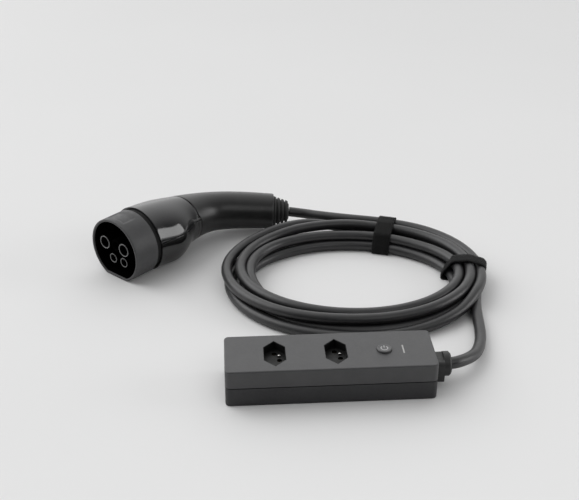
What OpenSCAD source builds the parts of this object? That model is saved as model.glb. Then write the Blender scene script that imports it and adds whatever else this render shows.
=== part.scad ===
/* [Socket box] */
// Length of the box between its end faces
box_l = 170; // [164:1:220]
// Width of the box
box_w = 52; // [50:1:64]
// Height of the box
box_h = 32.6; // [32:0.2:40]
// Radius of the upright corners
box_corner_r = 4; // [2:0.5:6]
// Softened edge along the top and the underside
box_edge = 1; // [0.4:0.2:1.6]
// Thickness of the side walls
box_wall = 2.4; // [2:0.2:3]
// Thickness of the underside
floor_t = 2.4; // [2:0.2:3]
// Thickness of the top plate
top_t = 2.6; // [2:0.2:3.2]
// Height of the joint between base and lid
joint_z = 16.4; // [15.6:0.2:17.4]
// Height and depth of the shadow groove round the joint
joint_groove = 0.8; // [0.3:0.1:1]
// Section of the sealing cord in the joint
seal_w = 1.2; // [0.8:0.1:1.4]
// Height of the sealing cord
seal_h = 1.6; // [1.2:0.1:2]

/* [Outlets] */
// Distance from the left end to the first outlet
outlet_inset = 40.5; // [36:0.5:44]
// Distance between the two outlets
outlet_pitch = 49.5; // [40:0.5:52]
// Offset of outlets, button and light bar from the box's middle line
row_y = -1.2; // [-2:0.2:2]
// Length of the recess from point to point
recess_long = 36.4; // [34:0.2:38]
// Width of the recess
recess_wide = 18; // [17:0.2:20]
// Distance between the corners along each long side
recess_flank = 18.8; // [16:0.2:22]
// Depth of the recess below the top plate
recess_depth = 7; // [6:0.2:9]
// Wall of the outlet insert
insert_wall = 1.6; // [1.2:0.2:2]
// Floor of the outlet insert
insert_floor = 2.4; // [2:0.2:3]
// Width of the insert's flange under the top plate
insert_flange = 1.2; // [1:0.1:1.4]
// Diameter of the pin holes
pin_hole_d = 4.4; // [4.2:0.1:5]
// Distance between line and neutral holes
pin_spread = 19; // [17:0.5:20]
// Offset of the earth hole from the line of the other two
earth_offset = 4; // [3:0.5:5]
// Wall of the sprung sleeves under the holes
sleeve_wall = 0.6; // [0.4:0.1:0.9]
// Length of the sprung sleeves
sleeve_l = 6; // [4:0.5:8]
// Width of the contact bars
bar_w = 5; // [4:0.5:6]
// Thickness of the contact bars
bar_t = 0.8; // [0.5:0.1:1.2]

/* [Button and light] */
// Distance from the second outlet to the button
button_step = 39.3; // [32:0.5:42]
// Diameter of the button
button_d = 12; // [10:0.5:14]
// Height of the button above the top plate
button_proud = 1.8; // [1.4:0.1:3]
// Travel of the button
button_travel = 1.2; // [0.8:0.1:1.3]
// Gap round the button
button_gap = 0.35; // [0.2:0.05:0.6]
// Width of the button's retaining flange
button_flange = 1.4; // [1:0.1:2]
// Thickness of the retaining flange
button_flange_t = 1; // [0.8:0.1:1.4]
// Depth of the dish in the button's face
button_dish = 0.4; // [0.2:0.1:0.8]
// Diameter of the switch plunger
plunger_d = 3.2; // [2.6:0.1:4]
// Distance from the button to the light bar
light_step = 15.4; // [13:0.2:18]
// Length of the light bar
light_l = 11.7; // [8:0.1:14]
// Width of the light bar
light_w = 1.2; // [1:0.1:2]

/* [Control board] */
// Height of the board's upper face
board_z = 15; // [14:0.2:16]
// Thickness of the board
board_t = 1.6; // [1.2:0.2:2]
// Width of the board
board_w = 40; // [36:1:42]
// Distance from the button to the board's left edge
board_left = 23; // [20:0.5:24]
// Distance from the light bar to the board's right edge
board_right = 4.5; // [3:0.5:5]
// Clearance between the board and the screw posts
board_gap = 0.6; // [0.4:0.1:1]
// Side of the push switch
switch_w = 12; // [10:0.5:13]
// Height of the push switch
switch_h = 8.5; // [7:0.5:9]
// Length of the relay
relay_l = 18; // [14:1:19]
// Width of the relay
relay_w = 12; // [10:0.5:13]
// Height of the relay
relay_h = 11; // [9:0.5:12]

/* [Case screws] */
// Diameter of the screw shanks
screw_d = 3; // [2.5:0.1:3.5]
// Diameter of the screw heads
screw_head_d = 5.4; // [4.8:0.1:5.8]
// Height of the screw heads
screw_head_h = 2.2; // [1.8:0.1:3]
// Depth of the pockets that hold the screw heads
screw_pocket = 7; // [5:0.5:9]
// Depth that the screws reach into the lid
screw_bite = 9; // [6:0.5:11]
// Diameter of the screw posts
post_d = 8; // [7.6:0.1:8.4]
// Distance from the walls to the screw axes
screw_inset = 5.4; // [5:0.1:6]

/* [Cord and gland] */
// Diameter of the cord
cord_d = 10; // [8:0.5:11]
// Height of the cord's axis at the gland
gland_z = 16; // [15:0.2:17]
// Diameter of the gland's neck in the end wall
neck_d = 15; // [14:0.2:16]
// Diameter of the gland's inner collar
collar_d = 19; // [18:0.5:21]
// Thickness of the gland's inner collar
collar_t = 2; // [1.5:0.1:3]
// Width of the gland's outer flange
flange_w = 20; // [17:0.5:22]
// Height of the gland's outer flange
flange_h = 19; // [17:0.5:20]
// Thickness of the gland's outer flange
flange_t = 8; // [5:0.5:9]
// Distance that the outer flange sits below the cord's axis
flange_drop = 1.6; // [0:0.1:2]
// Distance that the outer flange sits in front of the cord's axis
flange_front = 2; // [0:0.1:2.5]
// Corner radius of the outer flange
flange_r = 3; // [1:0.5:4]
// Diameter of the gland nut
nut_d = 20.4; // [18:0.2:22]
// Length of the gland nut
nut_l = 6.2; // [6:0.1:12]
// Bevel at the gland nut's outer end
nut_bevel = 1.4; // [1:0.2:4]
// Gap between the cord and the pieces round it
cord_gap = 0.2; // [0.1:0.05:0.4]
// Wall of the rubber ring in the gland nut
gland_ring = 1.6; // [1.2:0.1:2]

/* [Coil and straps] */
// Half length of the coil's middle line along the box
coil_a = 108; // [100:1:120]
// Half width of the coil's middle line across the box
coil_b = 87; // [80:1:100]
// Width of the bundle of turns
bundle_w = 38; // [32:1:44]
// Height of the bundle of turns
bundle_h = 22; // [20:1:30]
// Distance of the coil's middle inside the line of the box's right end
coil_inset = 47; // [44:1:50]
// Distance of the coil's middle behind the box's middle
coil_y = 160; // [156:1:180]
// Thickness of the straps
strap_t = 1.6; // [1:0.1:2.4]
// Width of the strap at the back
strap_back_w = 17; // [12:0.5:25]
// Width of the strap at the side
strap_side_w = 14; // [10:0.5:25]
// Place of the strap at the back, round the coil
strap_back_a = 67; // [40:1:80]
// Place of the strap at the side, round the coil
strap_side_a = 3; // [-5:1:20]

/* [Handle] */
// Radius of the nose shroud
nose_r = 32; // [30:0.5:36]
// Height of the nose axis above its flat side
nose_flat = 28.8; // [26:0.2:29.5]
// Radius where the flat meets the round
nose_corner = 5; // [3:0.5:8]
// Wall of the nose shroud
nose_wall = 2.6; // [2:0.2:3.5]
// Length of the shroud that shows
nose_l = 27.5; // [24:0.5:32]
// Depth of the nose's inside
nose_depth = 20; // [14:0.5:22]
// Length of the nose's spigot inside the housing
spigot_l = 6; // [4:0.5:8]
// Length of the sealing ring behind the nose
gasket_l = 4.5; // [3:0.5:6]
// Distance that the sealing ring sits below the nose's surface
gasket_step = 2; // [1:0.2:3]
// Radius of the head at its front
head_r = 33; // [31:0.5:34]
// Radius of the grip at its end
grip_r = 18; // [17:0.5:20]
// Thickness of the outer covers and the grip sleeve
skin_t = 2.2; // [1.6:0.2:2.6]
// Wall of the housing under the covers
housing_wall = 2.4; // [2:0.2:3]
// Gap along the seam between the covers
seam_gap = 0.8; // [0.4:0.1:1.2]
// Share of the handle's length that the head cover reaches
cover_reach = 0.33; // [0.3:0.01:0.4]
// Half angle that the head cover spans
cover_span = 82; // [70:1:88]
// Distance that the head swells to the grip's side
head_swell = 4.9; // [0:0.1:6]
// Distance behind the sealing ring that the handle heads for at first
head_pull = 80; // [72:1:88]
// Distance behind the sealing ring of the point that the grip comes from
bend_pull = 89.6; // [84:0.2:96]
// Sideways place of the point that the grip comes from
bend_side = 4.7; // [0:0.1:8]
// Drop of the point that the grip comes from below the nose axis
bend_drop = 1.4; // [0:0.1:3]
// Distance from the sealing ring back to the grip's end
grip_back = 143.6; // [138:0.2:150]
// Sideways distance from the nose axis to the grip's end
grip_side = 47.9; // [42:0.1:54]
// Distance that the grip's underside clears the ground at its end
grip_lift = 2.7; // [2:0.1:4]
// Radius that the head pulls towards behind its front
shoulder_r = 35.9; // [34:0.1:38]
// Radius that the bend pulls in to
waist_r = 11.2; // [9:0.1:14]
// Radius that the grip's front pulls out to
grip_front_r = 23.8; // [22:0.1:25]
// Radius that the grip's middle pulls towards
grip_mid_r = 19.3; // [18:0.1:21]

/* [Contacts] */
// Thickness of the contact carrier
carrier_t = 8; // [6:0.5:10]
// Height of the line and neutral towers inside the nose
tower_h = 19.5; // [14:0.5:19.5]
// Distance that the pilot and proximity towers end behind the others
small_tower_back = 4; // [0:0.5:6]
// Diameter of the line and neutral towers
big_tower_d = 13; // [12:0.2:14]
// Diameter of the pilot and proximity towers
small_tower_d = 9.6; // [9:0.2:11]
// Distance between the line and neutral towers
big_spread = 26.4; // [25:0.2:28]
// Distance between the pilot and proximity towers
small_spread = 15; // [13.6:0.2:17]
// Height of the line and neutral towers above the nose axis
big_rise = 5; // [3:0.5:6]
// Height of the pilot and proximity towers below the nose axis
small_drop = 12; // [10:0.5:14]
// Bore of the line, neutral and earth sleeves
big_sleeve_d = 6; // [5:0.1:6.4]
// Bore of the pilot and proximity sleeves
small_sleeve_d = 3; // [2.6:0.1:3.4]
// Wall of the contact sleeves
contact_wall = 1; // [0.8:0.1:1.3]

/* [Strain relief] */
// Length of the strain relief outside the grip
relief_l = 18; // [14:0.5:40]
// Length of the strain relief inside the grip
relief_hold = 8; // [6:0.5:12]
// Diameter of the strain relief at the grip
relief_d = 31; // [30:0.2:33]
// Diameter of the strain relief at the cord
relief_tip_d = 21; // [15:0.5:22]
// Number of ribs
rib_count = 4; // [3:1:6]
// Depth of the grooves between the ribs
groove_depth = 2; // [1:0.2:2.5]

/* [Hidden] */
$fn = 64;
play = 0.15;
eps = 0.01;

lid_under = box_h - top_t;
recess_floor = box_h - recess_depth;
insert_under = recess_floor - insert_floor;
outlet_x = [-box_l / 2 + outlet_inset, -box_l / 2 + outlet_inset + outlet_pitch];
button_x = outlet_x[1] + button_step;
light_x = button_x + light_step;
bar_top = insert_under - sleeve_l;
switch_top = board_z + switch_h;
cap_under = lid_under - button_gap - button_flange_t;
screw_x = box_l / 2 - box_wall - screw_inset;
screw_y = box_w / 2 - box_wall - screw_inset;
end_x = box_l / 2;
nut_x = end_x + flange_t;
gland_bore = cord_d / 2 + cord_gap;

// The handle's own axes: +X runs back from the nose face, +Z is up
handle_at = [-188, 188, 0];
handle_turn = 46;
head_back = nose_l + gasket_l;
// Middle line of the head and grip as one cubic curve, and its radius as a curve of six values
grip_path = [
    [head_back, 0, nose_flat],
    [head_back + head_pull, 0, nose_flat],
    [head_back + bend_pull, bend_side, nose_flat - bend_drop],
    [head_back + grip_back, -grip_side, grip_r + grip_lift]
];
grip_radii = [head_r, shoulder_r, waist_r, grip_front_r, grip_mid_r, grip_r];
// Share of the handle's length over which the head's swell rises and dies away
swell_reach = 0.28;

// Contact towers in the order line, neutral, earth, pilot, proximity
tower_places = [
    [-big_spread / 2, big_rise],
    [big_spread / 2, big_rise],
    [0, big_rise],
    [-small_spread / 2, -small_drop],
    [small_spread / 2, -small_drop]
];
earth_tower_d = big_spread - big_tower_d - 1;
tower_sizes = [big_tower_d, big_tower_d, earth_tower_d, small_tower_d, small_tower_d];
tower_backs = [0, 0, 2, small_tower_back, small_tower_back];
tower_bores = [big_sleeve_d, big_sleeve_d, big_sleeve_d, small_sleeve_d, small_sleeve_d];
// Insets of the nose's spigot and of the hollow through it
spigot_in = skin_t + housing_wall + 0.8;
hollow_in = spigot_in + 1.8;
sleeve_end = nose_depth + carrier_t + 4;

// The cord's route by hand: from the gland to the coil, and from the coil to the strain relief
coil_mid = [end_x - coil_inset, coil_y, 0];
box_lead_steps = [
    [9, 0, 0], [14, 0, 0], [18, 0.9, -0.2], [22, 2.9, -0.8], [29, 8.4, -2.6], [35, 14.7, -4.6],
    [40.4, 21.9, -6.6], [45.2, 31.2, -8.4], [49.4, 42.2, -9.8], [53.2, 56.6, -10.8],
    [55.8, 73, -10.9], [57.5, 88, -10.9], [60, 105, -10.9], [64, 123, -10.9]
];
box_lead_route = [for (p = box_lead_steps) p + [end_x, 0, gland_z]];
handle_lead_route = [
    [62, 258, 18], [50, 261.3, 18.2], [38, 265.3, 18], [28, 269, 17.7], [18, 273, 17.4],
    [9, 276.9, 17.1], [1, 279.9, 17.2], [-7, 281.3, 17.9], [-15, 281.6, 19.1]
];

// Vector helpers
function unit(v) = v / norm(v);
function bezier(p, t) =
    len(p) == 1 ? p[0] : bezier([for (i = [0:len(p) - 2]) (1 - t) * p[i] + t * p[i + 1]], t);
function bezier_dir(p, t) = unit(bezier([for (i = [0:len(p) - 2]) p[i + 1] - p[i]], t));

// Point of the handle's skin at t along it, at an angle from its left side over the top,
// at a depth below the outer surface; the underside keeps the nose's flat
function skin_point(t, angle, depth) =
    let (
        d = bezier_dir(grip_path, t),
        left = unit(cross([0, 0, 1], d)),
        up = cross(d, left),
        swell = head_swell * pow(sin(180 * min(1, t / swell_reach)), 2),
        c = bezier(grip_path, t) - left * swell,
        r = bezier(grip_radii, t) - depth,
        rise = max(r * sin(angle), -(nose_flat - 0.6 - depth))
    )
    c + left * r * cos(angle) + up * rise;

// Closed quads of a grid of rings, each with n points
function ring_quads(rings, n, wrap) =
    [for (i = [0:rings - 2], j = [0:n - (wrap ? 1 : 2)])
        [i * n + j, i * n + (j + 1) % n, (i + 1) * n + (j + 1) % n, (i + 1) * n + j]];

// Tube of skin from t0 to t1 between two depths
module skin_tube(t0, t1, depth_out, depth_in, rings, sides) {
    ts = [for (i = [0:rings - 1]) t0 + (t1 - t0) * i / (rings - 1)];
    outer = [for (t = ts, j = [0:sides - 1]) skin_point(t, 360 * j / sides, depth_out)];
    inner = [for (t = ts, j = [0:sides - 1]) skin_point(t, 360 * j / sides, depth_in)];
    m = rings * sides;
    last = (rings - 1) * sides;
    polyhedron(
        points = concat(outer, inner),
        faces = concat(
            [for (q = ring_quads(rings, sides, true)) [q[3], q[2], q[1], q[0]]],
            [for (q = ring_quads(rings, sides, true)) [m + q[0], m + q[1], m + q[2], m + q[3]]],
            [for (j = [0:sides - 1]) [j, (j + 1) % sides, m + (j + 1) % sides, m + j]],
            [for (j = [0:sides - 1])
                [m + last + j, m + last + (j + 1) % sides, last + (j + 1) % sides, last + j]]
        )
    );
}

// Strip of skin whose side edges follow two lists of angles, one pair for each ring
module skin_strip(ts, from, to, depth_out, depth_in, steps) {
    rings = len(ts);
    n = steps + 1;
    outer = [for (i = [0:rings - 1], j = [0:steps])
        skin_point(ts[i], from[i] + (to[i] - from[i]) * j / steps, depth_out)];
    inner = [for (i = [0:rings - 1], j = [0:steps])
        skin_point(ts[i], from[i] + (to[i] - from[i]) * j / steps, depth_in)];
    m = rings * n;
    last = (rings - 1) * n;
    polyhedron(
        points = concat(outer, inner),
        faces = concat(
            [for (q = ring_quads(rings, n, false)) [q[3], q[2], q[1], q[0]]],
            [for (q = ring_quads(rings, n, false)) [m + q[0], m + q[1], m + q[2], m + q[3]]],
            [for (j = [0:steps - 1]) [j, j + 1, m + j + 1, m + j]],
            [for (j = [0:steps - 1]) [m + last + j, m + last + j + 1, last + j + 1, last + j]],
            [for (i = [0:rings - 2]) [m + (i + 1) * n, (i + 1) * n, i * n, m + i * n]],
            [for (i = [0:rings - 2])
                [(i + 1) * n + steps, m + (i + 1) * n + steps, m + i * n + steps, i * n + steps]]
        )
    );
}

// Half angle of the head cover at t: full along the head, closing to a rounded tongue
function cover_half(t) =
    let (u = max(0, (t - cover_reach * 0.6) / (cover_reach * 0.4)))
    cover_span * pow(max(0, 1 - pow(u, 4)), 1 / 3.5);

// Round tube swept along a route, with a ring of points square to it at each route point
module swept_cord(route, d, sides) {
    n = len(route);
    dirs = [for (i = [0:n - 1]) unit(route[min(i + 1, n - 1)] - route[max(i - 1, 0)])];
    points = [for (i = [0:n - 1], j = [0:sides - 1])
        let (side = unit(cross([0, 0, 1], dirs[i])), up = cross(dirs[i], side), a = 360 * j / sides)
        route[i] + d / 2 * (side * cos(a) + up * sin(a))];
    polyhedron(
        points = points,
        faces = concat(
            [for (q = ring_quads(n, sides, true)) [q[3], q[2], q[1], q[0]]],
            [[for (j = [0:sides - 1]) j]],
            [[for (j = [sides - 1:-1:0]) (n - 1) * sides + j]]
        )
    );
}

// Flat outline with round corners
module rounded_plan(l, w, r) {
    square([l - 2 * r, w], center = true);
    square([l, w - 2 * r], center = true);
    for (x = [-1, 1], y = [-1, 1])
        translate([x * (l / 2 - r), y * (w / 2 - r)])
            circle(r);
}

// Upright block with the box's corners, between two heights, drawn in by an inset
module box_slab(z0, z1, inset) {
    translate([0, 0, z0])
        linear_extrude(z1 - z0)
            rounded_plan(box_l - 2 * inset, box_w - 2 * inset, max(0.5, box_corner_r - inset));
}

// One half of the box's outer form, with its outer edge softened in two steps
module box_form(z_joint, z_face) {
    up = sign(z_face - z_joint);
    hull() {
        box_slab(min(z_joint, z_joint + up), max(z_joint, z_joint + up), 0);
        box_slab(z_face - up * box_edge - eps, z_face - up * box_edge + eps, 0);
        box_slab(z_face - up * box_edge * 0.3 - eps, z_face - up * box_edge * 0.3 + eps, box_edge * 0.3);
        box_slab(min(z_face, z_face - up * eps), max(z_face, z_face - up * eps), box_edge);
    }
}

module at_screws() {
    for (x = [-1, 1], y = [-1, 1])
        translate([x * screw_x, y * screw_y, 0])
            children();
}

// Outline of an outlet recess, grown by a margin
function recess_points(grow) =
    let (
        w = recess_wide / 2,
        l = recess_long / 2,
        c = recess_flank / 2,
        edge = norm([w, l - c]),
        tip = l + grow * edge / w,
        corner = c + grow * (edge - (l - c)) / w
    )
    [[0, tip], [w + grow, corner], [w + grow, -corner], [0, -tip], [-w - grow, -corner], [-w - grow, corner]];

module recess_prism(z0, z1, grow) {
    translate([0, 0, z0])
        linear_extrude(z1 - z0)
            polygon(recess_points(grow));
}

module gland_wall_hole() {
    translate([end_x - box_wall - 1, 0, gland_z])
        rotate([0, 90, 0])
            cylinder(d = neck_d + 2 * play, h = box_wall + 2);
}

module board_posts(z0, z1) {
    for (x = [button_x - board_left + 5, light_x + board_right - 5], y = [-1, 1])
        translate([x, y * (board_w / 2 - 5), z0])
            cylinder(d = 6, h = z1 - z0);
}

module box_base() {
    color("#3a3a3c")
        difference() {
            union() {
                difference() {
                    box_form(joint_z, 0);
                    box_slab(floor_t, joint_z + 1, box_wall);
                    box_slab(joint_z - seal_h, joint_z + 1, box_wall - seal_w);
                }
                at_screws()
                    translate([0, 0, floor_t / 2])
                        cylinder(d = post_d, h = joint_z - seal_h - floor_t / 2);
                board_posts(floor_t / 2, board_z - board_t);
            }
            at_screws() {
                translate([0, 0, -1])
                    cylinder(d = screw_head_d + 2 * play, h = screw_pocket + 1);
                cylinder(d = screw_d + 2 * play, h = joint_z + 1);
            }
            gland_wall_hole();
        }
}

module box_lid() {
    color("#5f5f61")
        difference() {
            union() {
                difference() {
                    box_form(joint_z, box_h);
                    box_slab(joint_z - 1, lid_under, box_wall);
                    difference() {
                        box_slab(joint_z - 1, joint_z + joint_groove, -1);
                        box_slab(joint_z - 2, joint_z + joint_groove + 1, joint_groove);
                    }
                }
                at_screws()
                    translate([0, 0, joint_z - seal_h])
                        cylinder(d = post_d, h = lid_under - joint_z + seal_h + top_t / 2);
            }
            at_screws()
                translate([0, 0, joint_z - seal_h - 1])
                    cylinder(d = screw_d, h = screw_bite + seal_h + 1);
            for (x = outlet_x)
                translate([x, row_y, 0])
                    recess_prism(lid_under - 1, box_h + 1, 0);
            translate([button_x, row_y, lid_under - 1])
                cylinder(d = button_d + 2 * button_gap, h = top_t + 2);
            translate([light_x, row_y, lid_under + top_t / 2])
                cube([light_w + 2 * play, light_l + 2 * play, top_t + 2], center = true);
            gland_wall_hole();
        }
}

module box_seal() {
    color("#161616")
        difference() {
            box_slab(joint_z - seal_h, joint_z, box_wall - seal_w);
            box_slab(joint_z - seal_h - 1, joint_z + 1, box_wall);
            translate([end_x, 0, gland_z])
                cube([4 * box_wall, neck_d + 4 * play, neck_d], center = true);
        }
}

module outlet_insert(x) {
    color("#2b2b2d")
        translate([x, row_y, 0])
            difference() {
                union() {
                    recess_prism(lid_under - insert_wall, lid_under, insert_wall + insert_flange);
                    recess_prism(insert_under, lid_under - insert_wall / 2, insert_wall);
                }
                recess_prism(recess_floor, lid_under + 1, 0);
                for (p = [[0, pin_spread / 2], [0, -pin_spread / 2], [earth_offset, 0]])
                    translate([p[0], p[1], insert_under - 1])
                        cylinder(d = pin_hole_d, h = insert_floor + 2);
            }
}

// Contact bar with one sprung sleeve under each outlet
module contact_bar(dx, dy) {
    translate([0, row_y + dy, 0])
        difference() {
            union() {
                translate([outlet_x[0] + dx - bar_w / 2, -bar_w / 2, bar_top - bar_t])
                    cube([outlet_pitch + bar_w, bar_w, bar_t]);
                for (x = outlet_x)
                    translate([x + dx, 0, bar_top - bar_t / 2])
                        cylinder(d = pin_hole_d + 2 * sleeve_wall, h = sleeve_l + bar_t / 2);
            }
            for (x = outlet_x) {
                translate([x + dx, 0, bar_top - bar_t - 1])
                    cylinder(d = pin_hole_d - 0.4, h = sleeve_l + bar_t + 2);
                translate([x + dx - 0.3, -pin_hole_d, bar_top + 1])
                    cube([0.6, 2 * pin_hole_d, sleeve_l - 2]);
            }
        }
}

module line_bar() {
    color("#c9a24a")
        contact_bar(0, pin_spread / 2);
}

module neutral_bar() {
    color("#c9a24a")
        contact_bar(0, -pin_spread / 2);
}

module earth_bar() {
    color("#c9a24a")
        contact_bar(earth_offset, 0);
}

module control_board() {
    x0 = button_x - board_left;
    x1 = light_x + board_right;
    color("#1f5a3a")
        difference() {
            translate([x0, -board_w / 2, board_z - board_t])
                cube([x1 - x0, board_w, board_t]);
            at_screws()
                cylinder(d = post_d + 2 * board_gap, h = box_h);
        }
}

module push_switch() {
    color("#2a2a2a")
        translate([button_x, row_y, board_z])
            difference() {
                translate([-switch_w / 2, -switch_w / 2, 0])
                    cube([switch_w, switch_w, switch_h]);
                translate([0, 0, switch_h / 2])
                    cylinder(d = plunger_d + 0.6, h = switch_h);
            }
}

module switch_plunger() {
    bottom = board_z + switch_h / 2 + button_travel + 0.6;
    color("#e8e4da")
        translate([button_x, row_y, bottom])
            cylinder(d = plunger_d, h = cap_under - bottom);
}

module button_cap() {
    dish_r = (pow(button_d / 2 - 1, 2) + pow(button_dish, 2)) / (2 * button_dish);
    color("#565658")
        translate([button_x, row_y, 0])
            difference() {
                union() {
                    translate([0, 0, cap_under])
                        cylinder(d = button_d + 2 * button_flange, h = button_flange_t);
                    translate([0, 0, cap_under])
                        cylinder(d = button_d, h = box_h + button_proud - 0.5 - cap_under);
                    translate([0, 0, box_h + button_proud - 0.5])
                        cylinder(d1 = button_d, d2 = button_d - 1, h = 0.5);
                }
                translate([0, 0, box_h + button_proud - button_dish + dish_r])
                    sphere(dish_r, $fn = 96);
            }
}

module light_bar() {
    foot = 1;
    color("#f2f2ee")
        translate([light_x, row_y, 0]) {
            translate([-light_w / 2, -light_l / 2, lid_under - foot / 2])
                cube([light_w, light_l, top_t + foot / 2]);
            translate([-light_w / 2 - foot, -light_l / 2 - foot, lid_under - foot])
                cube([light_w + 2 * foot, light_l + 2 * foot, foot]);
            translate([-light_w / 2, -light_l / 4, board_z + 1.4])
                cube([light_w, light_l / 2, lid_under - foot / 2 - board_z - 1.4]);
        }
}

module status_led() {
    color("#f4f0c8")
        translate([light_x - 1.4, row_y - 1.75, board_z])
            cube([2.8, 3.5, 1.4]);
}

module relay() {
    color("#1d2f5a")
        translate([button_x - board_left + 1, -board_w / 2 + 10, board_z])
            cube([relay_w, relay_l, relay_h]);
}

module case_screws() {
    color("#8d8f92")
        at_screws()
            difference() {
                union() {
                    translate([0, 0, screw_pocket - screw_head_h])
                        cylinder(d = screw_head_d, h = screw_head_h);
                    translate([0, 0, screw_pocket - 0.2])
                        cylinder(d = screw_d, h = joint_z + screw_bite - 1 - screw_pocket + 0.2);
                }
                translate([0, 0, screw_pocket - screw_head_h - 1])
                    cylinder(d = screw_d, h = screw_head_h, $fn = 6);
            }
}

module gland_body() {
    color("#151515")
        difference() {
            union() {
                translate([end_x, -flange_front, gland_z - flange_drop])
                    rotate([90, 0, 90])
                        linear_extrude(flange_t)
                            rounded_plan(flange_w, flange_h, flange_r);
                translate([end_x - box_wall - collar_t, 0, gland_z])
                    rotate([0, 90, 0])
                        cylinder(d = neck_d, h = box_wall + collar_t + 1);
                translate([end_x - box_wall - collar_t, 0, gland_z])
                    rotate([0, 90, 0])
                        cylinder(d = collar_d, h = collar_t);
            }
            translate([end_x - box_wall - collar_t - 1, 0, gland_z])
                rotate([0, 90, 0])
                    cylinder(r = gland_bore, h = 40);
        }
}

module gland_nut() {
    color("#1b1b1b")
        translate([nut_x, 0, gland_z])
            rotate([0, 90, 0])
                difference() {
                    union() {
                        cylinder(d = nut_d, h = nut_l - nut_bevel);
                        translate([0, 0, nut_l - nut_bevel])
                            cylinder(d1 = nut_d, d2 = nut_d - 2 * nut_bevel, h = nut_bevel);
                    }
                    translate([0, 0, -1])
                        cylinder(r = gland_bore, h = nut_l + 2);
                    translate([0, 0, -1])
                        cylinder(r = gland_bore + gland_ring, h = nut_l - nut_bevel);
                }
}

module gland_ring_seal() {
    color("#0e0e0e")
        translate([nut_x, 0, gland_z])
            rotate([0, 90, 0])
                difference() {
                    cylinder(r = gland_bore + gland_ring, h = nut_l - nut_bevel - 1);
                    translate([0, 0, -1])
                        cylinder(d = cord_d - 0.2, h = nut_l);
                }
}

module lead_to_box() {
    color("#333333")
        swept_cord(box_lead_route, cord_d, 10);
}

module lead_to_handle() {
    color("#333333")
        swept_cord(handle_lead_route, cord_d, 10);
}

function oval(a, b) = [for (t = [0:6:354]) [a * cos(t), b * sin(t)]];

module cable_coil() {
    color("#333333")
        translate(coil_mid + [0, 0, strap_t])
            linear_extrude(bundle_h)
                difference() {
                    polygon(oval(coil_a + bundle_w / 2, coil_b + bundle_w / 2));
                    polygon(oval(coil_a - bundle_w / 2, coil_b - bundle_w / 2));
                }
}

// Band closed round the bundle of turns, square to the coil's middle line
module strap(angle, width) {
    r_in = 2;
    translate(coil_mid + [coil_a * cos(angle), coil_b * sin(angle), strap_t + bundle_h / 2])
        rotate([90, 0, atan2(coil_a * sin(angle), coil_b * cos(angle))])
            linear_extrude(width, center = true)
                difference() {
                    rounded_plan(bundle_w + 2 * strap_t, bundle_h + 2 * strap_t, r_in + strap_t);
                    square([bundle_w, bundle_h], center = true);
                }
}

module strap_back() {
    color("#101010")
        strap(strap_back_a, strap_back_w);
}

module strap_side() {
    color("#101010")
        strap(strap_side_a, strap_side_w);
}

module place_handle() {
    translate(handle_at)
        rotate([0, 0, handle_turn])
            children();
}

// Stands a piece drawn round +Z on the nose axis, its base at x, looking back along the handle
module on_nose(x) {
    translate([x, 0, nose_flat])
        rotate([90, 0, 90])
            children();
}

// Nose outline: a circle cut by a flat, with round corners where they meet
function nose_outline(inset) =
    let (
        r = nose_r - inset,
        h = nose_flat - inset,
        c = max(1, nose_corner - inset),
        cx = sqrt(pow(r - c, 2) - pow(h - c, 2)),
        cy = -(h - c),
        a = atan2(cy, cx)
    )
    concat(
        [for (i = [0:36]) let (t = a + (180 - 2 * a) * i / 36) [r * cos(t), r * sin(t)]],
        [for (i = [1:6]) let (t = 180 - a + (90 + a) * i / 6) [c * cos(t) - cx, c * sin(t) + cy]],
        [for (i = [0:5]) let (t = 270 + (90 + a) * i / 6) [c * cos(t) + cx, c * sin(t) + cy]]
    );

module nose_prism(x0, x1, inset) {
    on_nose(x0)
        linear_extrude(x1 - x0)
            polygon(nose_outline(inset));
}

module nose_shell() {
    color("#424244")
        place_handle()
            difference() {
                union() {
                    nose_prism(0, nose_l, 0);
                    nose_prism(nose_l - 1, head_back + spigot_l, spigot_in);
                }
                nose_prism(-1, nose_depth, nose_wall);
                nose_prism(nose_depth - 1, head_back + spigot_l + 1, hollow_in);
            }
}

module contact_carrier() {
    face = nose_depth - tower_h;
    color("#0d0d0d")
        place_handle()
            difference() {
                union() {
                    nose_prism(nose_depth, nose_depth + carrier_t, hollow_in);
                    for (i = [0:4])
                        on_nose(face + tower_backs[i])
                            translate(tower_places[i])
                                cylinder(d = tower_sizes[i], h = tower_h - tower_backs[i] + 1);
                }
                for (i = [0:4])
                    on_nose(face - 1)
                        translate(tower_places[i])
                            cylinder(d = tower_bores[i] + 2 * contact_wall, h = tower_h + carrier_t + 2);
            }
}

// Sprung metal sleeve in tower i, set a little behind the tower's mouth
module contact_sleeve(i) {
    start = nose_depth - tower_h + tower_backs[i] + 6;
    color("#c8ccd0")
        place_handle()
            on_nose(start)
                translate(tower_places[i])
                    difference() {
                        cylinder(d = tower_bores[i] + 2 * contact_wall, h = sleeve_end - start);
                        translate([0, 0, -1])
                            cylinder(d = tower_bores[i], h = nose_depth - start + 1);
                    }
}

module line_sleeve() {
    contact_sleeve(0);
}

module neutral_sleeve() {
    contact_sleeve(1);
}

module earth_sleeve() {
    contact_sleeve(2);
}

module pilot_sleeve() {
    contact_sleeve(3);
}

module proximity_sleeve() {
    contact_sleeve(4);
}

module nose_gasket() {
    color("#080808")
        place_handle()
            difference() {
                nose_prism(nose_l, head_back, gasket_step);
                nose_prism(nose_l - 1, head_back + 1, spigot_in);
            }
}

module handle_housing() {
    color("#202020")
        place_handle()
            skin_tube(0, 1, skin_t + 0.35, skin_t + housing_wall, 22, 32);
}

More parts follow.
